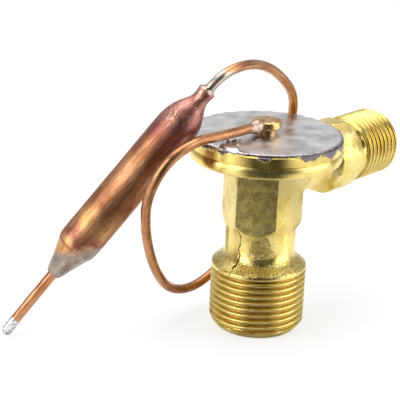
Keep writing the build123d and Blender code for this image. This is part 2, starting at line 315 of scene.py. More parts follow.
def pittedPatch(s):
    # a scaly patch that the forging die left on the neck
    rows = s.noise(0.55 * mm, 3, (0.55, 0.55, 2.0))
    near = s.near((-6.3 * mm, -5.6 * mm, 21.4 * mm), 0, 5.2 * mm)
    ragged = s.math("ADD", near, s.math("MULTIPLY", s.noise(1.5 * mm, 3), 0.9))
    return s.math("MULTIPLY", s.range(ragged, 0.82, 1.06), s.range(rows, 0.42, 0.54))


def shoulderBand(s):
    # the as-forged cone between thread and neck, with fine scratches down it
    axes = s.node("ShaderNodeSeparateXYZ")
    s.link(s.place, axes.inputs[0])
    band = s.math("MULTIPLY", s.range(axes.outputs["Z"], 15.0 * mm, 15.5 * mm),
                  s.range(axes.outputs["Z"], 17.5 * mm, 18.1 * mm, 1, 0))
    return s.math("MULTIPLY", band, s.range(s.noise(0.7 * mm, 4, (1.6, 1.6, 0.25)), 0.35, 0.65))


def partingSeam(s):
    # thin wandering line where the two halves of the forging die met, on the -X side
    axes = s.node("ShaderNodeSeparateXYZ")
    s.link(s.place, axes.inputs[0])
    wander = s.math("MULTIPLY", s.math("SUBTRACT", s.noise(2.2 * mm, 3), 0.5), 2.2 * mm)
    offset = s.math("ABSOLUTE", s.math("ADD", s.math("ADD", axes.outputs["Y"], 0.55 * mm), wander), 0)
    line = s.range(offset, 0.05 * mm, 0.19 * mm, 1, 0)
    side = s.range(axes.outputs["X"], -6.5 * mm, -6 * mm, 1, 0)
    below = s.range(axes.outputs["Z"], 24.3 * mm, 25.5 * mm, 1, 0)
    above = s.range(axes.outputs["Z"], 14.6 * mm, 15.2 * mm)
    return s.math("MULTIPLY", s.math("MULTIPLY", line, side), s.math("MULTIPLY", below, above))


solderTints = {
    "violet": (0.20, 0.17, 0.185),
    "grey": (0.36, 0.34, 0.34),
    "bright": (0.72, 0.74, 0.78),
    "warm": (0.48, 0.39, 0.32),
}


def bodyBrass():
    # machined is a value at the body's vertices and rough one at its faces
    s = Surface("forged_brass", brass["bright"], 0.25)
    machined = s.value("machined")
    patches = s.noise(3.2 * mm, 4)
    grain = s.noise(brass["grain"], 5)
    pits = s.noise(brass["pits"], 2)
    rough = s.math("MAXIMUM", s.value("rough"), pittedPatch(s))
    seam = partingSeam(s)
    skin = s.ramp(patches, [(0.30, brass["tan"]), (0.46, brass["bright"]), (0.66, brass["pale"])])
    skin = s.mix(s.range(grain, 0.58, 0.76, 0, 0.55), skin, brass["tan"])
    scale = s.math("ADD", s.math("MULTIPLY", pits, 0.5), s.math("MULTIPLY", s.noise(2.0 * mm, 5), 0.5))
    worn = s.mix(s.range(scale, 0.40, 0.62), (0.15, 0.115, 0.04), (0.50, 0.41, 0.14))
    skin = s.mix(s.math("MULTIPLY", rough, 0.85), skin, worn)
    turnedSkin = s.mix(s.range(patches, 0.28, 0.50), brass["tan"], brass["turned"])
    color = s.mix(machined, skin, turnedSkin)
    # darker brown deep in the thread roots: painted shade, like ambient occlusion, together with some dirt
    # there
    color = s.mix(s.math("MULTIPLY", s.value("root"), 0.8), color, (0.30, 0.165, 0.035))
    shoulder = shoulderBand(s)
    color = s.mix(s.math("MULTIPLY", shoulder, 0.75), color, brass["dull"])
    s.color(s.mix(seam, color, (0.10, 0.06, 0.01)))
    low, high = brass["forgedRoughness"]
    lowTurned, highTurned = brass["machinedRoughness"]
    forgedGloss = s.range(grain, 0.3, 0.75, low, high)
    turnedGloss = s.range(patches, 0.3, 0.7, lowTurned, highTurned)
    gloss = s.choose(machined, forgedGloss, turnedGloss)
    s.roughness(s.choose(rough, gloss, s.range(pits, 0.3, 0.7, 0.34, 0.5)))
    s.bump(shoulder, 0.03 * mm)
    forged = s.math("SUBTRACT", 1.0, machined)
    s.bump(s.math("MULTIPLY", grain, forged), 0.16 * mm)
    s.bump(s.math("MULTIPLY", scale, s.math("ADD", s.math("MULTIPLY", forged, 0.2), rough)), 0.30 * mm)
    s.bump(s.noise(0.5 * mm, 2, (1, 1, 6)), 0.006 * mm)
    s.bump(s.math("MULTIPLY", seam, -1.0), 0.25 * mm)
    return s.material


def rimBrass():
    # turned brass of the head's case, with grey solder that has run over its rim
    s = Surface("rim_brass", brass["bright"], 0.2)
    axes = s.node("ShaderNodeSeparateXYZ")
    s.link(s.place, axes.inputs[0])
    runs = s.noise(3.4 * mm, 3, (1, 1, 0.25))
    height = s.range(axes.outputs["Z"], 43.9 * mm, 46.0 * mm, -0.16, 0.10)
    side = s.node("ShaderNodeVectorMath", operation="DOT_PRODUCT")
    s.link(s.place, side.inputs[0])
    side.inputs[1].default_value = (0.5, -0.866, 0)
    more = s.range(side.outputs["Value"], 6 * mm, 17 * mm, -0.07, 0.11)
    grey = s.range(s.math("ADD", s.math("ADD", runs, height), more), 0.52, 0.61)
    base = s.mix(s.range(s.noise(4 * mm, 3), 0.42, 0.62, 0, 0.8), brass["bright"], brass["tan"])
    s.color(s.mix(grey, base, solderTints["violet"]))
    s.roughness(s.choose(grey, s.range(runs, 0.3, 0.7, 0.16, 0.30), s.range(runs, 0.3, 0.7, 0.22, 0.40)))
    s.bump(s.noise(0.7 * mm, 3, (1, 1, 5)), 0.02 * mm)
    s.bump(grey, 0.12 * mm)
    return s.material


def plainBrass(name="turned_brass", size=1.5 * mm, bright=brass["bright"], dull=brass["tan"]):
    s = Surface(name, bright, 0.25)
    s.color(s.mix(s.range(s.noise(size, 4), 0.4, 0.6), bright, dull))
    s.roughness(s.range(s.noise(size / 3, 3), 0.3, 0.7, 0.18, 0.36))
    s.bump(s.noise(size / 5, 3), 0.015 * mm)
    return s.material


def coverSteel():
    # rolled, tinned sheet
    s = Surface("tinned_steel", (0.70, 0.70, 0.71), 0.3)
    speck = s.noise(0.40 * mm, 4)
    cloud = s.noise(4.5 * mm, 5)
    scratch = s.noise(0.45 * mm, 3, (1.0, 0.10, 1.0))
    stops = [(0.30, (0.56, 0.555, 0.575)), (0.48, (0.72, 0.715, 0.72)), (0.70, (0.80, 0.79, 0.78))]
    base = s.ramp(cloud, stops)
    base = s.mix(s.range(speck, 0.54, 0.70, 0, 0.5), base, (0.46, 0.45, 0.47))
    base = s.mix(s.range(scratch, 0.66, 0.74, 0, 0.6), base, (0.86, 0.86, 0.86))
    s.color(base)
    s.roughness(s.range(cloud, 0.3, 0.7, 0.24, 0.40))
    s.bump(speck, 0.020 * mm)
    s.bump(s.noise(2.4 * mm, 2), 0.05 * mm)
    return s.material


def solderSkin(name, low, high):
    # wet is 1 where the solder stayed bright
    s = Surface(name, high, 0.22)
    skin = s.ramp(s.noise(0.8 * mm, 4), [(0.38, low), (0.58, high)])
    s.color(s.mix(s.value("wet"), skin, solderTints["bright"]))
    s.roughness(s.range(s.noise(0.5 * mm, 3), 0.3, 0.7, 0.12, 0.36))
    s.bump(s.noise(0.6 * mm, 3), 0.10 * mm)
    return s.material


copper = {
    "bright": (0.53, 0.255, 0.125),
    "gold": (0.60, 0.315, 0.125),
    "brown": (0.29, 0.115, 0.052),
    "dark": (0.11, 0.042, 0.024),
    "pink": (0.47, 0.215, 0.18),
    "plum": (0.27, 0.09, 0.075),
    "tin": (0.50, 0.425, 0.36),
}


def copperTube():
    # left is the distance to the tube's end, in metres
    s = Surface("copper_tube", copper["bright"], 0.25)
    streak = s.streaks(0.9 * mm, 4, 0.10)
    cloud = s.noise(3.5 * mm, 4)
    fine = s.streaks(0.25 * mm, 3, 0.35)
    base = s.ramp(streak, [(0.34, copper["brown"]), (0.5, copper["bright"]), (0.68, copper["gold"])])
    base = s.mix(s.range(cloud, 0.46, 0.66, 0, 0.6), base, copper["brown"])
    base = s.mix(s.range(fine, 0.56, 0.75, 0, 0.5), base, copper["dark"])
    ragged = s.math("ADD", s.value("left"), s.math("MULTIPLY", streak, 12 * mm))
    s.color(s.mix(s.range(ragged, 14 * mm, 16.5 * mm, 1, 0), base, copper["tin"]))
    s.roughness(s.range(streak, 0.3, 0.7, 0.22, 0.38))
    s.bump(fine, 0.012 * mm)
    return s.material


def copperBulb():
    # along is the distance from the bulb's upper end, in metres
    s = Surface("copper_bulb", copper["bright"], 0.27)
    along = s.value("along")
    cloud = s.noise(4.0 * mm, 5)
    streak = s.streaks(2.0 * mm, 4, 0.08)
    fine = s.streaks(0.45 * mm, 4, 0.10)
    side = s.node("ShaderNodeVectorMath", operation="DOT_PRODUCT")
    s.link(s.place, side.inputs[0])
    side.inputs[1].default_value = (0.63, -0.72, -0.29)
    near = s.math("ADD", side.outputs["Value"], 50 * mm)
    lengthwise = s.range(s.math("ADD", along, s.math("MULTIPLY", cloud, 10 * mm)), 0, 62 * mm)
    stops = [(0.0, copper["pink"]), (0.20, copper["plum"]), (0.30, copper["brown"]), (0.46, copper["bright"])]
    stops += [(0.66, copper["brown"]), (0.80, copper["gold"]), (0.86, copper["plum"]), (0.92, copper["gold"])]
    base = s.ramp(lengthwise, stops)
    base = s.mix(s.range(streak, 0.50, 0.66, 0, 0.75), base, copper["brown"])
    base = s.mix(s.range(cloud, 0.54, 0.72, 0, 0.5), base, copper["gold"])
    base = s.mix(s.range(fine, 0.56, 0.72, 0, 0.6), base, copper["dark"])
    light = s.range(s.streaks(0.30 * mm, 3, 0.05), 0.56, 0.70, 0, 0.40)
    base = s.mix(light, base, (0.78, 0.56, 0.42))
    crease = s.range(s.math("ABSOLUTE", s.math("SUBTRACT", along, 45.7 * mm), 0), 0.15 * mm, 0.5 * mm, 0.7, 0)
    base = s.mix(crease, base, copper["plum"])
    high = s.math("MULTIPLY", s.range(along, 7 * mm, 14 * mm, 0.55, 0), s.range(cloud, 0.42, 0.58))
    scuffs = s.math("MULTIPLY", s.range(s.noise(0.45 * mm, 5), 0.50, 0.66), high)
    base = s.mix(scuffs, base, (0.72, 0.56, 0.50))
    ragged = s.math("ADD", along, s.math("MULTIPLY", cloud, 5 * mm))
    ragged = s.math("ADD", ragged, s.math("MULTIPLY", near, 0.75))
    tin = s.ramp(s.streaks(1.6 * mm, 4, 0.4), [(0.36, (0.22, 0.17, 0.13)), (0.64, (0.38, 0.325, 0.28))])
    tinned = s.range(ragged, 50.9 * mm, 52.3 * mm)
    s.color(s.mix(tinned, base, tin))
    bareGloss = s.range(streak, 0.3, 0.7, 0.32, 0.46)
    tinGloss = s.range(streak, 0.3, 0.7, 0.32, 0.44)
    s.roughness(s.choose(tinned, bareGloss, tinGloss))
    bare = s.math("SUBTRACT", 1.0, tinned)
    s.bump(s.math("MULTIPLY", fine, bare), 0.04 * mm)
    s.bump(s.math("MULTIPLY", cloud, bare), 0.22 * mm)
    return s.material


def innerSteel(name, color, roughness):
    s = Surface(name, color, roughness)
    s.color(s.mix(s.range(s.noise(0.8 * mm, 4), 0.4, 0.7), color, tuple(c * 0.75 for c in color)))
    s.bump(s.noise(0.3 * mm, 3), 0.01 * mm)
    return s.material


forgedBrass = bodyBrass()
turnedBrass = plainBrass()
solder = solderSkin("solder", solderTints["grey"], solderTints["bright"])
brazeSolder = solderSkin("braze_solder", (0.42, 0.27, 0.19), solderTints["warm"])
seamSolder = solderSkin("seam_solder", (0.16, 0.14, 0.155), (0.42, 0.38, 0.39))
tubeSkin = copperTube()
stainless = innerSteel("stainless", (0.60, 0.60, 0.62), 0.22)
springWire = innerSteel("spring_wire", (0.36, 0.36, 0.38), 0.35)
nodeFinish = {
    "diaphragm_lower_case": rimBrass(),
    "diaphragm_cover": coverSteel(),
    "capillary_boss": plainBrass("boss_brass", 0.9 * mm, (0.78, 0.56, 0.22), (0.50, 0.29, 0.13)),
}
for name in ("diaphragm", "push_rod_left", "push_rod_right", "orifice_seat", "valve_ball"):
    nodeFinish[name] = stainless
for name in ("diaphragm_pad", "ball_carrier", "spring_seat", "adjusting_nut", "strainer_ring"):
    nodeFinish[name] = turnedBrass
for name, material in nodeFinish.items():
    nodes[name].data.materials.clear()
    nodes[name].data.materials.append(material)
print("materials made")


thread = {
    "pitch": 1.5 * mm,
    "depth": 0.86 * mm,
    "crest": 0.14,  # share of the pitch that is flat on top
    "root": 0.20,
    "rowsPerTurn": 14,
    "colsFoot": 180,
    "colsInlet": 144,
}
foot = {
    "radius": 11.0 * mm,
    "leadRadius": 9.3 * mm,
    "lead": 2.0 * mm,
    "top": 15.0 * mm,
    "runOut": 14.9 * mm,
}
inlet = {
    "height": 36.17 * mm,
    "radius": 8.0 * mm,
    "reliefRadius": 7.15 * mm,
    "relief": 29.5 * mm,
    "start": 30.3 * mm,
    "end": 42.5 * mm,
    "lead": 1.0 * mm,
}
machining = {
    "neckTop": 18.3 * mm,  # below this the body is turned
    "armStart": 28.2 * mm,  # beyond this the arm is turned
    "bore": 7.5 * mm,
    "flangeLow": 41 * mm,
    "flangeRadius": 12 * mm,
    "flangeReach": 18 * mm,
    "bossSharp": 19,  # in degrees
    "bodySharp": 28,
}
facing = np.radians(221.2)  # the side from which the scene's camera looks
footGroove = 2.18 * mm  # a groove's height on that side
inletGroove = 31.45 * mm


def threadDepth(along, angle, groove):
    # depth of a right-hand thread: flat crest, straight flanks, round root
    phase = (along - groove) / thread["pitch"] - (angle - facing) / tau + 0.5
    u = np.abs(phase - np.floor(phase) - 0.5) * 2
    return thread["depth"] * (1 - smoothStep(u, thread["root"], 1 - thread["crest"]))


def footThread():
    # radius at height z: the smaller of the lead cone and the threaded cylinder
    rows = int((foot["top"] / thread["pitch"]) * thread["rowsPerTurn"])
    z = np.linspace(0.02 * mm, foot["top"] - 0.02 * mm, rows)[:, None]
    angle = (np.arange(thread["colsFoot"]) * tau / thread["colsFoot"])[None]
    cone = foot["leadRadius"] + z / foot["lead"] * (foot["radius"] - foot["leadRadius"])
    fade = smoothStep(foot["runOut"] - z, 0, 0.8 * mm)
    r = np.minimum(cone, foot["radius"] - fade * threadDepth(z, angle, footGroove))
    return np.stack([r * np.cos(angle), r * np.sin(angle), z + 0 * angle], -1)


def inletThread():
    # the same along +X, between the relief's slope and the lead cone
    span = inlet["end"] - inlet["relief"]
    rows = int((span / thread["pitch"]) * thread["rowsPerTurn"])
    x = np.linspace(inlet["relief"] + 0.02 * mm, inlet["end"] - 0.02 * mm, rows)[:, None]
    angle = (np.arange(thread["colsInlet"]) * tau / thread["colsInlet"])[None]
    slope = inlet["reliefRadius"] + (x - inlet["relief"]) / (inlet["start"] - inlet["relief"]) * (
        inlet["radius"] - inlet["reliefRadius"])
    cone = inlet["radius"] - inlet["lead"] + (inlet["end"] - x)
    r = np.minimum(np.minimum(slope, cone), inlet["radius"] - threadDepth(x, angle, inletGroove))
    return np.stack([x + 0 * angle, r * np.cos(angle), inlet["height"] + r * np.sin(angle)], -1)


def bodyWithThreads():
    # the machined body with its two plain thread cylinders cut out and real threads bridged in
    source = nodes["valve_body"]
    bm = bmesh.new()
    bm.from_mesh(source.data)
    bmesh.ops.remove_doubles(bm, verts=bm.verts, dist=1e-6)
    cut = []
    for face in bm.faces:
        c = face.calc_center_median()
        onFoot = 0.005 * mm < c.z < foot["top"] and Vector((c.x, c.y)).length > 9.2 * mm
        across = Vector((c.y, c.z - inlet["height"])).length
        onInlet = inlet["relief"] + 0.005 * mm < c.x < inlet["end"] - 0.005 * mm and across > 7.02 * mm
        if onFoot or onInlet:
            cut.append(face)
    bmesh.ops.delete(bm, geom=cut, context="FACES")
    for rings in (footThread(), inletThread()):
        mesh = bpy.data.meshes.new("thread")
        mesh.from_pydata(rings.reshape(-1, 3).tolist(), [], gridFaces(*rings.shape[:2]).tolist())
        bm.from_mesh(mesh)
    holes = [e for e in bm.edges if e.is_boundary]
    print("open edges before bridging:", len(holes))

    def near(edge, axis, place):
        return all(abs(v.co[axis] - place) < 0.1 * mm for v in edge.verts)

    for axis, place in ((2, 0), (2, foot["top"]), (0, inlet["relief"]), (0, inlet["end"])):
        loops = [e for e in bm.edges if e.is_boundary and near(e, axis, place)]
        bmesh.ops.bridge_loops(bm, edges=loops)
    print("open edges after:", sum(e.is_boundary for e in bm.edges))
    bmesh.ops.recalc_face_normals(bm, faces=bm.faces)
    mesh = bpy.data.meshes.new("body_with_threads")
    bm.to_mesh(mesh)
    bm.free()
    return mesh


def scalyFaces(mesh):
    # 1 on the two flats of the column's hexagon that still have the forging's skin, else 0
    count = len(mesh.polygons)
    normal = np.zeros(count * 3)
    center = np.zeros(count * 3)
    mesh.polygons.foreach_get("normal", normal)
    mesh.polygons.foreach_get("center", center)
    normal = normal.reshape(-1, 3)
    center = center.reshape(-1, 3)
    flat = np.abs(normal @ [np.cos(np.radians(30)), np.sin(np.radians(30)), 0]) > 0.999
    return (flat & (center[:, 2] > 24.2 * mm) & (center[:, 2] < 40.9 * mm)).astype(float)


def edgeValues(mesh):
    sharp = np.zeros(len(mesh.edges), bool)
    mesh.attributes["sharp_edge"].data.foreach_get("value", sharp)
    return sharp


def setSharp(mesh, fine, coarse, onBoss, inThread):
    # the finer rule on the boss, no sharp edges in the threads
    ends = np.zeros(len(mesh.edges) * 2, int)
    mesh.edges.foreach_get("vertices", ends)
    ends = ends.reshape(-1, 2)
    sharp = np.where(onBoss[ends].all(1), fine, coarse) & ~inThread[ends].all(1)
    mesh.attributes["sharp_edge"].data.foreach_set("value", sharp)


def addBody():
    mesh = bodyWithThreads()
    mesh.materials.append(forgedBrass)
    mesh.polygons.foreach_set("use_smooth", [True] * len(mesh.polygons))
    mesh.set_sharp_from_angle(angle=np.radians(machining["bossSharp"]))
    fine = edgeValues(mesh)
    mesh.set_sharp_from_angle(angle=np.radians(machining["bodySharp"]))
    coarse = edgeValues(mesh)
    piece = bpy.data.objects.new("body_with_threads", mesh)
    bpy.context.scene.collection.objects.link(piece)
    co = np.zeros(len(mesh.vertices) * 3)
    mesh.vertices.foreach_get("co", co)
    x, y, z = co.reshape(-1, 3).T
    around = np.hypot(x, y)
    machined = (z < machining["neckTop"]) | (x > machining["armStart"]) | (around < machining["bore"])
    flange = (z > machining["flangeLow"]) & (around > machining["flangeRadius"])
    machined |= flange & (x < machining["flangeReach"])
    setValue(piece, "machined", machined)
    across = np.hypot(y, z - inlet["height"])
    inFoot = (z > foot["lead"]) & (z < foot["runOut"]) & (around > 9.5 * mm)
    inInlet = (x > inlet["start"]) & (x < inlet["end"] - inlet["lead"]) & (across > 6.5 * mm)
    below = inFoot * (foot["radius"] - around) + inInlet * (inlet["radius"] - across)
    # how deep each vertex sits in a thread's root, 0 to 1, cubed; the material paints shade in the roots by
    # it
    setValue(piece, "root", np.clip(below / thread["depth"], 0, 1) ** 3)
    onBoss = (x > 17 * mm) & (x < 29 * mm) & (z < 45.5 * mm) & (across > 5.5 * mm)
    setSharp(mesh, fine, coarse, onBoss, inFoot | inInlet)
    rough = mesh.attributes.new("rough", "FLOAT", "FACE")
    rough.data.foreach_set("value", scalyFaces(mesh))
    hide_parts("valve_body")
    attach(piece, "housing")


addBody()
print("body made")


def halfSpring(name, sign, middle):
    # the part of the coil above (sign 1) or below (sign -1) its middle, closed where it is cut
    bm = bmesh.new()
    bm.from_mesh(nodes["superheat_spring"].data)
    bmesh.ops.remove_doubles(bm, verts=bm.verts, dist=1e-6)
    everything = list(bm.verts) + list(bm.edges) + list(bm.faces)
    bmesh.ops.bisect_plane(
        bm, geom=everything, plane_co=(0, 0, middle), plane_no=(0, 0, -sign), clear_outer=True)
    bmesh.ops.holes_fill(bm, edges=[e for e in bm.edges if e.is_boundary])
    bmesh.ops.recalc_face_normals(bm, faces=bm.faces)
    mesh = bpy.data.meshes.new(name)
    bm.to_mesh(mesh)
    bm.free()
    mesh.materials.clear()
    mesh.materials.append(springWire)
    piece = bpy.data.objects.new(name, mesh)
    bpy.context.scene.collection.objects.link(piece)
    return piece


def addSpring():
    # the coil cut at its middle into an upper and a lower half, each closed where it is cut
    low, high = (corner[2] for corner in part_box("superheat_spring"))
    middle = (low + high) / 2
    for name, sign, body, end in (("coil_upper", 1, "needle", high), ("coil_lower", -1, "seat", low)):
        piece = halfSpring(name, sign, middle)
        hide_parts("superheat_spring")
        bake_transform(piece)


addSpring()


tube = {
    "radius": 1.1 * mm,
    "rows": 700,
    "cols": 24,
}
bulb = {
    "top": Vector((-17.52, 2.85, 58.57)) * mm,
    "foot": Vector((-39.9, 26.43, 15.3)) * mm,
    "insertion": 3.0 * mm,
    "straight": 3.0 * mm,
    "cols": 72,
}
bulb["axis"] = (bulb["foot"] - bulb["top"]).normalized()
route = [
    (-0.8, 0.0, 48.5),
    (-8.0, 0.0, 48.5),
    (-16.2, -0.1, 48.8),
    (-24.4, 0.2, 49.1),
    (-31.0, 2.1, 45.1),
    (-32.7, 5.3, 37.2),
    (-29.9, 8.2, 29.2),
    (-25.9, 10.6, 21.6),
    (-21.6, 12.2, 14.7),
    (-15.0, 14.1, 8.0),
    (-6.8, 14.8, 5.5),
    (1.0, 14.8, 7.2),
    (7.5, 14.0, 12.4),
    (11.9, 12.8, 19.4),
    (14.7, 11.4, 27.4),
    (16.8, 10.6, 35.5),
    (19.7, 8.1, 43.5),
    (16.9, 5.9, 51.0),
    (10.7, 4.7, 56.2),
    (3.9, 3.6, 60.2),
    (-4.0, 2.1, 62.5),
    (-11.6, 1.0, 62.8),
]


def addCapillary():
    points = [Vector(p) * mm for p in route]
    points += [bulb["top"] - bulb["axis"] * bulb["straight"], bulb["top"] + bulb["axis"] * bulb["insertion"]]
    line = resample(splineLine(points), tube["rows"])
    rings = ringsAlong(line, np.full(tube["rows"], tube["radius"]), tube["cols"])
    piece = closedTube("formed_capillary", rings, tubeSkin)
    length = np.linalg.norm(np.diff(line, axis=0), axis=1).sum()
    left = np.repeat(np.linspace(length, 0, tube["rows"]), tube["cols"])
    setValue(piece, "left", np.r_[left, length, 0])
    setUnrolled(piece, line, np.full(tube["rows"], tube["radius"]), tube["cols"])
    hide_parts("capillary_tube")
    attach(piece, "housing")
    print("capillary %.1f mm long" % (length / mm))


bulbShape = {
    # places along the axis and the radius at each, in millimetres
    "places": [0, 0.6, 2.4, 3.6, 5.2, 6.8, 8.4, 10.2, 14, 28, 42, 45.4, 46.2, 46.9, 48.2, 50.8, 52.6,
               53.4, 54.05],
    "radii": [2.05, 2.0, 1.95, 2.3, 3.2, 3.95, 4.45, 4.7, 4.75, 4.72, 4.75, 4.73, 4.52, 4.2, 3.8, 2.85,
              2.25, 1.95, 1.62],
    "rows": 260,
    "dent": 0.05 * mm,
}


def addBulb():
    # radius along the axis through the shape's places, with slight hand-swaged waves
    length = (bulb["foot"] - bulb["top"]).length
    s = np.linspace(0, length, bulbShape["rows"])
    r = np.interp(s, np.array(bulbShape["places"]) * mm, np.array(bulbShape["radii"]) * mm)
    kernel = np.hanning(9)
    padded = np.pad(r, 4, mode="edge")
    r = np.convolve(padded, kernel / kernel.sum(), mode="valid")
    angle = np.arange(bulb["cols"]) * tau / bulb["cols"]
    wave = ripple(s[:, None] / (6 * mm), angle[None], 11, reach=3)
    upper = smoothStep(s, 0, 2 * mm) * (1 - smoothStep(s, 7 * mm, 12 * mm))
    lower = smoothStep(s, 43 * mm, 47 * mm) * (1 - smoothStep(s, 51 * mm, 54 * mm))
    cone = upper + lower
    radius = r[:, None] - bulbShape["dent"] * (1 + wave) * (0.35 + 1.2 * cone[:, None])
    path = np.array(bulb["top"])[None] + s[:, None] * np.array(bulb["axis"])[None]
    piece = closedTube("swaged_bulb", ringsAlong(path, radius, bulb["cols"]), copperBulb())
    setValue(piece, "along", np.r_[np.repeat(s, bulb["cols"]), 0, length])
    setUnrolled(piece, path, radius, bulb["cols"])
    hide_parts("sensing_bulb")
    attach(piece, "housing")


stub = {
    "radius": 1.175 * mm,
    "tip": Vector((-47.08, 33.78, 1.3)) * mm,
    "start": 51.05 * mm,
    "bend": 4.0 * mm,
    "short": 1.2 * mm,  # how far the copper ends before the tip, inside the solder
    "dent": 0.05 * mm,
    "bare": 8.5 * mm,  # added to the distance to the tip, so the tube's tin stays off the stub
    "rows": 120,
    "cols": 24,
}


def addStub():
    corner = bulb["foot"] + bulb["axis"] * stub["bend"]
    aim = (stub["tip"] - corner).normalized()
    start = bulb["top"] + bulb["axis"] * stub["start"]
    line = resample(splineLine([start, corner, stub["tip"] - aim * stub["short"]]), stub["rows"])
    s = np.linspace(0, 1, stub["rows"])[:, None]
    cols = stub["cols"]
    angle = (np.arange(cols) * tau / cols)[None]
    radius = stub["radius"] - stub["dent"] * (1 + ripple(s * 9, angle, 5)) * 0.5
    piece = closedTube("charge_stub", ringsAlong(line, radius, cols), tubeSkin)
    reach = np.linalg.norm(line - np.array(stub["tip"]), axis=1) + stub["bare"]
    setValue(piece, "left", np.r_[np.repeat(reach, cols), reach[0], reach[-1]])
    setUnrolled(piece, line, radius, cols)
    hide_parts("charge_tube")
    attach(piece, "housing")


addCapillary()
addBulb()
addStub()
seam = {
    "inner": 16.62 * mm,
    "outer": 17.12 * mm,
    "height": 0.20 * mm,
    "middle": 46.26 * mm,
    "tongueAngle": 183,  # the side where the solder ran in over the cover, in degrees
    "tongueWidth": 14,
    "tongueReach": 7.6 * mm,
    "tongueHeight": 0.42 * mm,
    "lumps": 0.26 * mm,
    "cols": 720,
    "rows": 28,
}


def addHeadSeam():
    # bead round the cover's edge; its section is an ellipse that widens into a tongue on one side
    angle = (np.arange(seam["cols"]) * tau / seam["cols"])[None]
    turn = (np.arange(seam["rows"]) * tau / seam["rows"])[:, None]
    off = (np.degrees(angle) - seam["tongueAngle"] + 180) % 360 - 180
    tongue = np.exp(-(off / seam["tongueWidth"]) ** 2)
    wave = ripple(0, 6 * angle, 21, 12, 9)
    inner = seam["inner"] - seam["tongueReach"] * tongue ** 1.5 * (1 + 0.12 * wave)
    outer = seam["outer"] + 0.06 * mm * wave
    height = seam["height"] * (1 + 0.2 * wave) + seam["tongueHeight"] * tongue
    r = (inner + outer) / 2 + (outer - inner) / 2 * np.cos(turn)
    lumps = seam["lumps"] * tongue * ripple(r / (0.7 * mm), 9 * angle, 4, 8, 3)
    z = seam["middle"] + 0.2 * mm * tongue + (height + lumps) * np.sin(turn)
    rings = np.stack([r * np.cos(angle), r * np.sin(angle), z], -1)
    piece = newPiece("seam_bead", rings, hoopFaces(seam["rows"], seam["cols"])[:, ::-1].tolist(), seamSolder)
    setValue(piece, "wet", smoothStep(tongue + 0 * turn, 0.15, 0.5))
    finishSolder(piece, "head_solder_seam")


def finishSolder(piece, node):
    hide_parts(node)
    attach(piece, "housing")


bead = {
    "places": [-6.6, -5.6, -4.6, -3.9, -3.2, -2.4, -1.6, -1.0, -0.7],
    "radii": [1.11, 1.20, 1.42, 1.62, 1.62, 1.48, 1.32, 1.12, 0.5],
    "height": 48.5 * mm,
    "lumps": 0.06,
    "rows": 90,
    "cols": 64,
}


def addBossBraze():
    # solder drawn up round the tube where it enters the button
    x = np.linspace(bead["places"][0], bead["places"][-1], bead["rows"]) * mm
    r = np.interp(x, np.array(bead["places"]) * mm, np.array(bead["radii"]) * mm)
    angle = (np.arange(bead["cols"]) * tau / bead["cols"])[None]
    swell = smoothStep(x, -7 * mm, -4.5 * mm)[:, None]
    radius = r[:, None] * (1 + bead["lumps"] * swell * ripple(x[:, None] / (1.2 * mm), angle, 8, 7, 2))
    path = np.stack([x, 0 * x, 0 * x + bead["height"]], -1)
    piece = closedTube("braze_bead", ringsAlong(path, radius, bead["cols"]), brazeSolder)
    finishSolder(piece, "boss_braze")


seal = {
    "radius": 1.3 * mm,
    "sleeve": 3.4 * mm,
    "sleeveRadius": 1.24 * mm,
    "ballEnd": 0.4 * mm,
    "neckEnd": 1.6 * mm,
    "dent": 0.16,
    "rows": 80,
    "cols": 48,
}


def addSeal():
    # lump of solder on the tube's tip, running out into a thin sleeve; dents go inwards only
    corner = bulb["foot"] + bulb["axis"] * stub["bend"]
    way = np.array((corner - stub["tip"]).normalized())
    s = np.linspace(-0.999 * seal["radius"], seal["sleeve"], seal["rows"])
    ball = np.sqrt(np.clip(seal["radius"] ** 2 - np.minimum(s, seal["ballEnd"]) ** 2, 0, None))
    neck = ball + (seal["sleeveRadius"] - ball) * smoothStep(s, seal["ballEnd"], seal["neckEnd"])
    r = np.where(s < seal["ballEnd"], ball, neck)
    r = r - 0.05 * mm * smoothStep(s, 3 * mm, seal["sleeve"])
    angle = (np.arange(seal["cols"]) * tau / seal["cols"])[None]
    lumps = np.clip(ripple(s[:, None] / (0.6 * mm), angle, 14, 9, 3), -1, 1)
    dent = (0.5 + 0.5 * lumps) * seal["dent"]
    radius = r[:, None] * (1 - dent * (1 - smoothStep(s, 0.1 * mm, 0.9 * mm))[:, None])
    path = np.array(stub["tip"])[None] + s[:, None] * way[None]
    piece = closedTube("tip_seal", ringsAlong(path, radius, seal["cols"]), solder)
    finishSolder(piece, "charge_tube_seal")


screen = {
    "radius": 4.03 * mm,
    "start": 23.05 * mm,
    "end": 37.0 * mm,
    "height": 36.17 * mm,
    "wire": 0.07 * mm,
    "lengthwise": 40,
    "hoops": 26,
    "across": 13,
    "wireSides": 5,
}


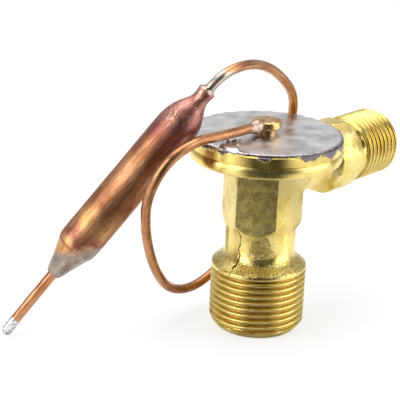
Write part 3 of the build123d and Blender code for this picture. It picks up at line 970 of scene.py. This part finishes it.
def addScreen():
    # wire cloth of the strainer's cup: lengthwise wires, hoops and a crossed bottom
    points = []
    faces = []

    def addWire(line, closed):
        rows = len(line)
        if closed:
            tangent = np.roll(line, -1, 0) - np.roll(line, 1, 0)
        else:
            tangent = np.gradient(line, axis=0)
        tangent /= np.linalg.norm(tangent, axis=1)[:, None]
        out = line - np.array([0, 0, screen["height"]])
        out[:, 0] = 0
        flat = np.linalg.norm(out, axis=1) < 0.98 * screen["radius"]
        out[flat] = [1.0, 0, 0]
        out /= np.linalg.norm(out, axis=1)[:, None]
        other = np.cross(tangent, out)
        sides = screen["wireSides"]
        turn = np.arange(sides) * tau / sides
        ring = np.cos(turn)[None, :, None] * out[:, None] + np.sin(turn)[None, :, None] * other[:, None]
        rings = line[:, None] + screen["wire"] * ring
        first = sum(len(p) for p in points)
        points.append(rings.reshape(-1, 3))
        if closed:
            faces.extend((hoopFaces(rows, sides) + first).tolist())
            return
        faces.extend((gridFaces(rows, sides) + first).tolist())
        faces.append([first + k for k in reversed(range(sides))])
        faces.append([first + (rows - 1) * sides + k for k in range(sides)])

    for k in range(screen["lengthwise"]):
        angle = (k + 0.5) * tau / screen["lengthwise"]
        x = np.linspace(screen["start"], screen["end"], 2 * screen["hoops"])
        weave = screen["wire"] * np.where((np.arange(len(x)) // 2 + k) % 2, 0.9, -0.9)
        r = screen["radius"] + weave
        addWire(np.stack([x, r * np.cos(angle), screen["height"] + r * np.sin(angle)], -1), False)
    angle = np.arange(80) * tau / 80
    for x in np.linspace(screen["start"], screen["end"], screen["hoops"]):
        y = screen["radius"] * np.cos(angle)
        addWire(np.stack([x + 0 * y, y, screen["height"] + screen["radius"] * np.sin(angle)], -1), True)
    for k in range(screen["across"]):
        offset = (2 * (k + 0.5) / screen["across"] - 1) * screen["radius"]
        reach = np.sqrt((0.97 * screen["radius"]) ** 2 - offset ** 2) * np.linspace(-1, 1, 12)
        side = offset + 0 * reach
        for y, z, lift in ((side, reach, 0), (reach, side, 1)):
            x = np.full(12, screen["start"] + lift * 1.4 * screen["wire"])
            addWire(np.stack([x, y, screen["height"] + z], -1), False)
    piece = newPiece("wire_cloth", np.vstack(points), faces, springWire)
    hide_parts("strainer_screen")
    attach(piece, "housing")


addScreen()
addHeadSeam()
addBossBraze()
addSeal()
nodes["bulb_neck_solder"].data.materials.clear()
nodes["bulb_neck_solder"].data.materials.append(brazeSolder)
print("capillary, bulb and stub made")


studio = {
    "floorSize": 6.0,
    "worldStrength": 0.75,
    "worldWay": (-0.72, -0.63, 0.28),
    "worldFall": (0.35, 0.80, 1.0, 0.10),
    "glowShare": 0.72,  # how far the floor shines for the camera's own rays
    "paleTone": (0.92, 0.92, 0.92, 1),
    "darkTone": (0.05, 0.05, 0.045, 1),
    "shadeWay": (-0.752, -0.659),
    "shadeFall": (0.72, 0.97),
    "shadeReach": (-0.02, 0.09, 0.08, 1.0),
}


def addStage():
    bpy.ops.mesh.primitive_plane_add(size=studio["floorSize"], location=(0, 0, -0.02 * mm))
    floor = bpy.context.object
    floor.name = "floor"
    material = bpy.data.materials.new("floor")
    material.use_nodes = True
    tree = material.node_tree
    tree.nodes.clear()
    out = tree.nodes.new("ShaderNodeOutputMaterial")
    paint = tree.nodes.new("ShaderNodeBsdfDiffuse")
    glow = tree.nodes.new("ShaderNodeEmission")
    glow.inputs["Strength"].default_value = 1.0
    blend = tree.nodes.new("ShaderNodeMixShader")
    rays = tree.nodes.new("ShaderNodeLightPath")
    share = tree.nodes.new("ShaderNodeMath")
    share.operation = "MULTIPLY"
    share.inputs[1].default_value = studio["glowShare"]
    tree.links.new(rays.outputs["Is Camera Ray"], share.inputs[0])
    tree.links.new(share.outputs[0], blend.inputs[0])
    place = tree.nodes.new("ShaderNodeTexCoord")
    aim = tree.nodes.new("ShaderNodeVectorMath")
    aim.operation = "NORMALIZE"
    toward = tree.nodes.new("ShaderNodeVectorMath")
    toward.operation = "DOT_PRODUCT"
    toward.inputs[1].default_value = (*studio["shadeWay"], 0)
    shade = tree.nodes.new("ShaderNodeMapRange")
    shade.interpolation_type = "SMOOTHSTEP"
    for key, number in zip(("From Min", "From Max"), studio["shadeFall"]):
        shade.inputs[key].default_value = number
    away = tree.nodes.new("ShaderNodeVectorMath")
    away.operation = "LENGTH"
    far = tree.nodes.new("ShaderNodeMapRange")
    far.interpolation_type = "SMOOTHSTEP"
    for key, number in zip(("From Min", "From Max", "To Min", "To Max"), studio["shadeReach"]):
        far.inputs[key].default_value = number
    both = tree.nodes.new("ShaderNodeMath")
    both.operation = "MULTIPLY"
    dark = tree.nodes.new("ShaderNodeMath")
    dark.operation = "MULTIPLY"
    tone = tree.nodes.new("ShaderNodeMix")
    tone.data_type = "RGBA"
    colors = [n for n in tone.inputs if n.type == "RGBA"]
    colors[0].default_value = studio["paleTone"]
    colors[1].default_value = studio["darkTone"]
    tree.links.new(place.outputs["Object"], aim.inputs[0])
    tree.links.new(aim.outputs[0], toward.inputs[0])
    tree.links.new(toward.outputs["Value"], shade.inputs["Value"])
    tree.links.new(place.outputs["Object"], away.inputs[0])
    tree.links.new(away.outputs["Value"], far.inputs["Value"])
    tree.links.new(shade.outputs["Result"], both.inputs[0])
    tree.links.new(far.outputs["Result"], both.inputs[1])
    tree.links.new(both.outputs[0], dark.inputs[0])
    tree.links.new(rays.outputs["Is Glossy Ray"], dark.inputs[1])
    tree.links.new(dark.outputs[0], tone.inputs[0])
    tree.links.new(next(n for n in tone.outputs if n.type == "RGBA"), paint.inputs["Color"])
    tree.links.new(paint.outputs[0], blend.inputs[1])
    tree.links.new(glow.outputs[0], blend.inputs[2])
    tree.links.new(blend.outputs[0], out.inputs["Surface"])
    floor.data.materials.append(material)


def addWorld():
    # white for the camera; for the metal, white round the sides and back and dark towards the camera
    world = bpy.data.worlds.new("studio")
    bpy.context.scene.world = world
    world.use_nodes = True
    tree = world.node_tree
    tree.nodes.clear()
    out = tree.nodes.new("ShaderNodeOutputWorld")
    sky = tree.nodes.new("ShaderNodeBackground")
    white = tree.nodes.new("ShaderNodeBackground")
    white.inputs["Strength"].default_value = 1.0
    white.inputs["Color"].default_value = (1, 1, 1, 1)
    place = tree.nodes.new("ShaderNodeTexCoord")
    dot = tree.nodes.new("ShaderNodeVectorMath")
    dot.operation = "DOT_PRODUCT"
    dot.inputs[1].default_value = studio["worldWay"]
    tree.links.new(place.outputs["Generated"], dot.inputs[0])
    ramp = tree.nodes.new("ShaderNodeMapRange")
    ramp.interpolation_type = "SMOOTHSTEP"
    for key, number in zip(("From Min", "From Max", "To Min", "To Max"), studio["worldFall"]):
        ramp.inputs[key].default_value = number
    tree.links.new(dot.outputs["Value"], ramp.inputs["Value"])
    level = tree.nodes.new("ShaderNodeMath")
    level.operation = "MULTIPLY"
    level.inputs[1].default_value = studio["worldStrength"]
    tree.links.new(ramp.outputs["Result"], level.inputs[0])
    tree.links.new(level.outputs[0], sky.inputs["Strength"])
    rays = tree.nodes.new("ShaderNodeLightPath")
    blend = tree.nodes.new("ShaderNodeMixShader")
    tree.links.new(rays.outputs["Is Camera Ray"], blend.inputs[0])
    tree.links.new(sky.outputs[0], blend.inputs[1])
    tree.links.new(white.outputs[0], blend.inputs[2])
    tree.links.new(blend.outputs[0], out.inputs["Surface"])


lamps = [
    # name, place, size, watts
    ("overhead", (0.05, 0.10, 0.55), 0.60, 2.6),
    ("left", (-0.45, 0.15, 0.25), 0.42, 1.8),
    ("right", (0.25, -0.45, 0.25), 0.50, 1.5),
]


def addLamps():
    for name, place, size, watts in lamps:
        light = bpy.data.lights.new(name, "AREA")
        light.size = size
        light.energy = watts
        lamp = bpy.data.objects.new(name, light)
        lamp.location = place
        lamp.rotation_euler = (Vector((0, 0, 0.03)) - Vector(place)).to_track_quat("-Z", "Y").to_euler()
        bpy.context.scene.collection.objects.link(lamp)


view = {
    "place": (-0.2353, -0.1872, 0.1381),
    "look": (0.7075, 0.6197, -0.3397),
    "roll": 2.55,
    "lens": 126.0,
}


def addCamera():
    data = bpy.data.cameras.new("camera")
    data.lens = view["lens"]
    data.sensor_width = 36.0
    data.clip_start = 0.01
    camera = bpy.data.objects.new("camera", data)
    look = Vector(view["look"]).normalized()
    right = look.cross(Vector((0, 0, 1))).normalized()
    up = right.cross(look)
    turn = Matrix((right, up, -look)).transposed() @ Matrix.Rotation(np.radians(view["roll"]), 3, "Z")
    camera.matrix_world = Matrix.Translation(Vector(view["place"])) @ turn.to_4x4()
    bpy.context.scene.collection.objects.link(camera)
    bpy.context.scene.camera = camera


addStage()
addWorld()
addLamps()
addCamera()
bpy.context.scene.view_settings.view_transform = "Standard"
print("stage, lamps and camera made")

bpy.context.view_layer.update()
